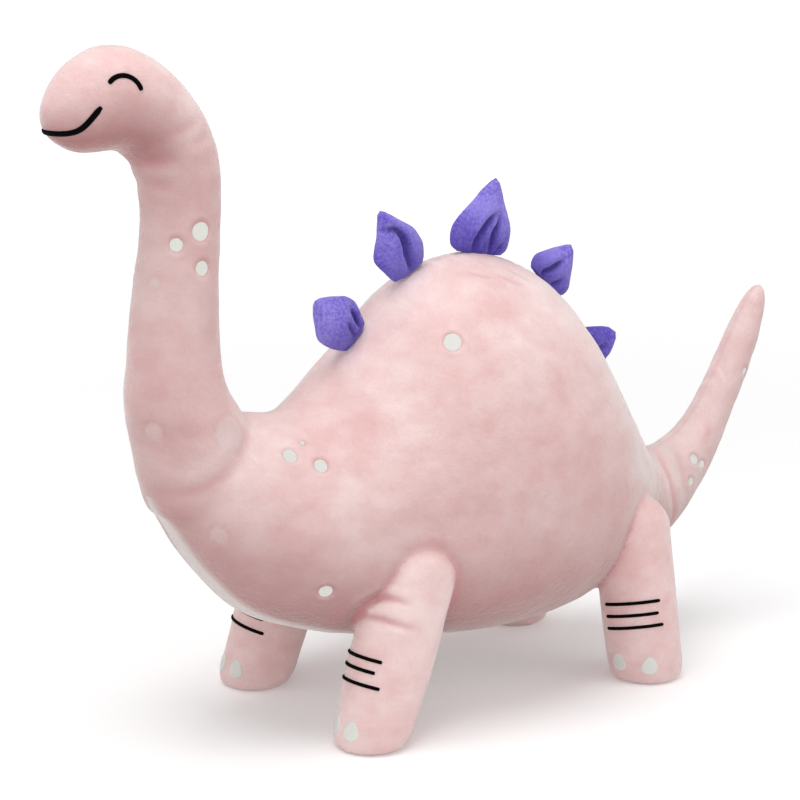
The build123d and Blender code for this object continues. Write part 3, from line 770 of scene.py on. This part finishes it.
# square to the stripes; the hind ones slant a little
STRIPE_WAY = {"front": (-0.057, 0.291, 0.955), "hind": (-0.248, 0.035, 0.968)}
for name in legs:
    kind, side = name.split("_")[0], 1 if name.endswith("left") else -1
    foot, axis, toes = leg_frame(kind, side)
    bars = []
    square = np.array(STRIPE_WAY[kind]) * (side, 1, 1)
    forward = toes - square * (toes @ square)
    forward /= np.linalg.norm(forward)
    beside = np.cross(square, forward) * side
    for height, first, last in STRIPES[kind]:
        level = foot + axis * height
        angles = np.radians(np.linspace(first, last, 9))
        ways = [forward * math.cos(t) + beside * math.sin(t) for t in angles]
        bars.append(bar("stripe", [through(level, way) for way in ways], STRIPE_THREAD))
    stitched[f"{name}_stripes"] = joined(f"stitched_{name}_stripes", bars)
    nails = []
    for turn in (-NAIL_TURN, NAIL_TURN):
        way = toes * math.cos(turn) + np.cross((0, 0, 1), toes) * side * math.sin(turn)
        middle = through(foot + (0, 0, NAIL_UP), way)
        nails.append(pad("nail", middle, nail_outline, (0, 0, 1), rise=0.5))
    stitched[f"{name}_toenails"] = joined(f"stitched_{name}_toenails", nails)
print("stitched pieces:", len(stitched))

# %% [markdown]
# ## Materials
# The plush is a short polyester pile. Its base is a warm pale pink; the pile's tips catch light at a
# grazing angle, which the sheen does, and stroking lays the pile in patches, which
# is the slow mottling. Fine bumps a little under a millimetre wide stand for the tufts.

# %% Colours and nodes
# the pale grey of the belly panel and pressed rounds, also used as painted sheen, and the distance between two
# ridges of satin stitch in mm
PALE_PILE_AND_SHEEN_TONE = "D2CBC8"
RIDGE_STEP = 0.5


def tone(code):
    """A colour written as sRGB hex, turned into the linear values that shaders use."""
    shares = [int(code[k:k + 2], 16) / 255 for k in (0, 2, 4)]
    return [c / 12.92 if c <= 0.04045 else ((c + 0.055) / 1.055) ** 2.4 for c in shares] + [1]


def node(tree, kind, inputs=(), **settings):
    """Adds one node, sets its properties, and links or fills its inputs."""
    made = tree.nodes.new(kind)
    for name, value in settings.items():
        setattr(made, name, value)
    for socket, value in inputs:
        if isinstance(value, bpy.types.NodeSocket):
            tree.links.new(value, made.inputs[socket])
        else:
            made.inputs[socket].default_value = value
    return made


def new_material(name):
    """An empty material and its output."""
    made = bpy.data.materials.new(name)
    made.use_nodes = True
    made.node_tree.nodes.clear()
    return made, made.node_tree


def cloud(tree, space, scale, detail, rough=0.5):
    """Noise whose swells are about 1 / scale metres wide."""
    return node(tree, "ShaderNodeTexNoise", [
        ("Vector", space), ("Scale", scale), ("Detail", detail), ("Roughness", rough)]).outputs[0]


def scaled(tree, value, factor, more=0.0):
    """A value times a factor, plus more."""
    made = node(tree, "ShaderNodeMath", [(0, value), (1, factor), (2, more)], operation="MULTIPLY_ADD")
    return made.outputs[0]


def mark(tree, name):
    """A number that was stored on the mesh."""
    return node(tree, "ShaderNodeAttribute", attribute_name=name).outputs["Fac"]


def mixed(tree, factor, first, second):
    """From the first colour at 0 to the second at 1."""
    made = node(tree, "ShaderNodeMix", [("Factor", factor), (6, first), (7, second)], data_type="RGBA")
    return made.outputs[2]


def plush(name, light, deep, shade_tone, crease_shade_tone, sheen, tint, tuft):
    """Short-pile plush: mottled base, painted shade on undersides and in creases, paler pile with painted
    sheen, tufted bump and sheen.
    """
    made, tree = new_material(name)
    space = node(tree, "ShaderNodeTexCoord").outputs["Object"]
    combed = node(tree, "ShaderNodeMapping", [
        ("Vector", space), ("Rotation", (0.5, 0.3, 0.4)), ("Scale", (0.8, 0.9, 1.3))]).outputs[0]
    mottle = scaled(tree, cloud(tree, space, 22, 3, 0.55), 0.52)
    mottle = scaled(tree, cloud(tree, combed, 70, 4, 0.6), 0.48 - tuft, mottle)
    mottle = scaled(tree, cloud(tree, space, 620, 3, 0.7), tuft, mottle)
    spread = node(tree, "ShaderNodeMapRange", [
        ("Value", mottle), ("From Min", 0.38 + 0.1 * tuft), ("From Max", 0.62 - 0.1 * tuft)]).outputs[0]
    # painted shade: the colour goes towards the darker shade tone on undersides, lower cheeks and plate roots
    shade_share = node(tree, "ShaderNodeMath", [(0, mark(tree, "nap")), (1, 1.1)], operation="POWER").outputs[0]
    colour = mixed(tree, spread, tone(deep), tone(light))
    colour = mixed(tree, shade_share, colour, tone(shade_tone))
    # paler, greyer pile, partly painted sheen on the belly panel and rump
    colour = mixed(tree, scaled(tree, mark(tree, "greyed"), 0.8), colour, tone(PALE_PILE_AND_SHEEN_TONE))
    # painted shade in folds, seams and spot dips
    colour = mixed(tree, scaled(tree, mark(tree, "fold"), 0.75), colour, tone(crease_shade_tone))
    pile = scaled(tree, cloud(tree, space, 300, 3), 1.1, cloud(tree, space, 1300, 2))
    bump = node(tree, "ShaderNodeBump", [
        ("Height", pile), ("Strength", 0.45 + tuft), ("Distance", 0.0009)]).outputs[0]
    cloth = node(tree, "ShaderNodeBsdfPrincipled", [
        ("Base Color", colour), ("Roughness", 0.95), ("Specular IOR Level", 0.08), ("Sheen Weight", sheen),
        ("Sheen Roughness", 0.35), ("Sheen Tint", tone(tint)), ("Normal", bump)])
    node(tree, "ShaderNodeOutputMaterial", [("Surface", cloth.outputs[0])])
    return made


def thread(name, colour, rough, shine, depth):
    """Satin-stitched polyester thread: fine ridges half a millimetre apart along the stitching."""
    made, tree = new_material(name)
    turn = scaled(tree, mark(tree, "along"), 2 * math.pi / RIDGE_STEP)
    wave = node(tree, "ShaderNodeMath", [(0, turn)], operation="SINE").outputs[0]
    bump = node(tree, "ShaderNodeBump", [
        ("Height", wave), ("Strength", depth), ("Distance", 0.00012)]).outputs[0]
    cloth = node(tree, "ShaderNodeBsdfPrincipled", [
        ("Base Color", tone(colour)), ("Roughness", rough), ("Specular IOR Level", shine), ("Normal", bump)])
    node(tree, "ShaderNodeOutputMaterial", [("Surface", cloth.outputs[0])])
    return made


# the darker underside and crease tones of both plush colours are painted shade
PINK = plush(
    "pink short-pile polyester plush", light="F1DAD8", deep="E4BEBC", shade_tone="A07473", crease_shade_tone="BE7C80",
    sheen=1.0, tint="FBF8F5", tuft=0.1)
PURPLE = plush(
    "violet short-pile polyester plush", light="978BE0", deep="5F50B8", shade_tone="4E40A0", crease_shade_tone="35277C",
    sheen=0.9, tint="C9C1F8", tuft=0.4)
BLACK = thread("black satin embroidery thread", "040303", rough=0.7, shine=0.04, depth=0.5)
WHITE = thread("off-white filled embroidery thread", "F1F2EC", rough=0.7, shine=0.2, depth=1.0)
print("materials:", PINK.name, "|", PURPLE.name, "|", BLACK.name, "|", WHITE.name)

# %% [markdown]
# ## Dress each piece, and attach it or bake it in place
# Each piece gets its material. A piece that rides one body is attached to it; a piece that spans a bend, and
# the stitching on it, only has its placement baked into its mesh. The frame's own parts that a piece stands in
# for are hidden.

# %% Materials, bodies and the frame parts that each piece hides
def dress(piece, material):
    """Give the piece one material."""
    piece.data.materials.clear()
    piece.data.materials.append(material)


def bend(piece, start, way):
    """Bakes the piece's placement into its mesh; start and way are not used."""
    start, way = np.array(start, float), np.array(way, float)
    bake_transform(piece)


parts["torso"] = parts.pop("torso_sides")
for name, piece in parts.items():
    dress(piece, PURPLE if name.startswith("plate") else PINK)
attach(parts["torso"], "torso")
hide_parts("torso_side_left", "torso_side_right", "torso_stuffing")
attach(parts["belly_panel"], "torso")
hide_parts("belly_gusset")
bend(parts["neck"], NECK_CUT, NECK_WAY)
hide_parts("neck_side_left", "neck_side_right", "neck_stuffing")
bend(parts["head"], (0, -161, 290), (0, -0.5, 0.87))
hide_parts("head_side_left", "head_side_right", "head_stuffing")
bend(parts["tail"], TAIL_CUT, TAIL_WAY)
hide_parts("tail_side_left", "tail_side_right", "tail_stuffing")
for name in legs:
    cut, way = LEG_CUTS[name]
    bend(parts[name], cut + 3 * way, way)
    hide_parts(f"{name}_skin", f"{name}_sole", f"{name}_stuffing")
for name in PLATES:
    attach(parts[name], name)
    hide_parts(f"{name}_face_left", f"{name}_face_right", f"{name}_root", f"{name}_stuffing")

for name, piece in stitched.items():
    white = name.endswith(("spots", "toenails"))
    dress(piece, WHITE if white else BLACK)
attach(stitched["torso_spots"], "torso")
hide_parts("torso_spots_left", "torso_spots_right")
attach(stitched["neck_spots"], "neck")
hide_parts("neck_spots")
bend(stitched["tail_spots"], TAIL_CUT, TAIL_WAY)
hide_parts("tail_spots")
for name in ("eye_left", "eye_right", "mouth"):
    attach(stitched[name], "head")
    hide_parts(name)
for name in legs:
    cut, way = LEG_CUTS[name]
    for kind in ("stripes", "toenails"):
        bend(stitched[f"{name}_{kind}"], cut + 3 * way, way)
        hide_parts(f"{name}_{kind}")
print("pieces handed over:", len(parts) + len(stitched))

# %% [markdown]
# ## A soft studio
# A wide soft box above and another in front on the right give the main light, two more fill in from
# either side, and a bright room makes the gentle shade of a catalogue picture. The floor is plain and pale,
# and glows a little far from the toy, where the lamps don't reach, so that it stays white to the horizon.

# %% Floor, lamps and room
bpy.ops.object.select_all(action="DESELECT")
bpy.ops.mesh.primitive_plane_add(size=40)
floor = bpy.context.object
floor.name = "studio floor"
paper, tree = new_material("pale paper")
place = node(tree, "ShaderNodeTexCoord").outputs["Object"]
away = node(tree, "ShaderNodeVectorMath", [(0, place)], operation="LENGTH")
glow = node(tree, "ShaderNodeMapRange", [
    ("Value", away.outputs["Value"]), ("From Min", 0.3), ("From Max", 2.2), ("To Min", 0.12), ("To Max", 0.6)],
    interpolation_type="SMOOTHSTEP")
surface = node(tree, "ShaderNodeBsdfPrincipled", [
    ("Base Color", tone("FAFAFA")), ("Roughness", 0.9), ("Specular IOR Level", 0),
    ("Emission Color", (1, 1, 1, 1)), ("Emission Strength", glow.outputs[0])])
node(tree, "ShaderNodeOutputMaterial", [("Surface", surface.outputs[0])])
dress(floor, paper)


def lamp(name, place, size, power, aim=(0, 0, 0.16)):
    """A square soft box that faces the toy."""
    bpy.ops.object.light_add(type="AREA", location=place)
    made = bpy.context.object
    made.name = name
    made.data.shape = "SQUARE"
    made.data.size = size
    made.data.energy = power
    made.rotation_euler = (Vector(place) - Vector(aim)).to_track_quat("Z", "Y").to_euler()
    return made


lamp("soft box above", (0.1, -0.3, 1.5), 1.0, 11.5)
lamp("soft box in front", (1.3, -1.6, 0.6), 1.2, 6.5)
lamp("soft box from the right", (1.4, 1.1, 0.8), 1.2, 6)
lamp("soft box from the left", (-0.7, -1.9, 0.7), 1.0, 1.2)
world = bpy.data.worlds.new("bright room")
world.use_nodes = True
world.node_tree.nodes.clear()
air = node(world.node_tree, "ShaderNodeBackground", [("Color", (1, 1, 1, 1)), ("Strength", 0.52)])
node(world.node_tree, "ShaderNodeOutputWorld", [("Surface", air.outputs[0])])
bpy.context.scene.world = world
bpy.context.scene.view_settings.view_transform = "Standard"
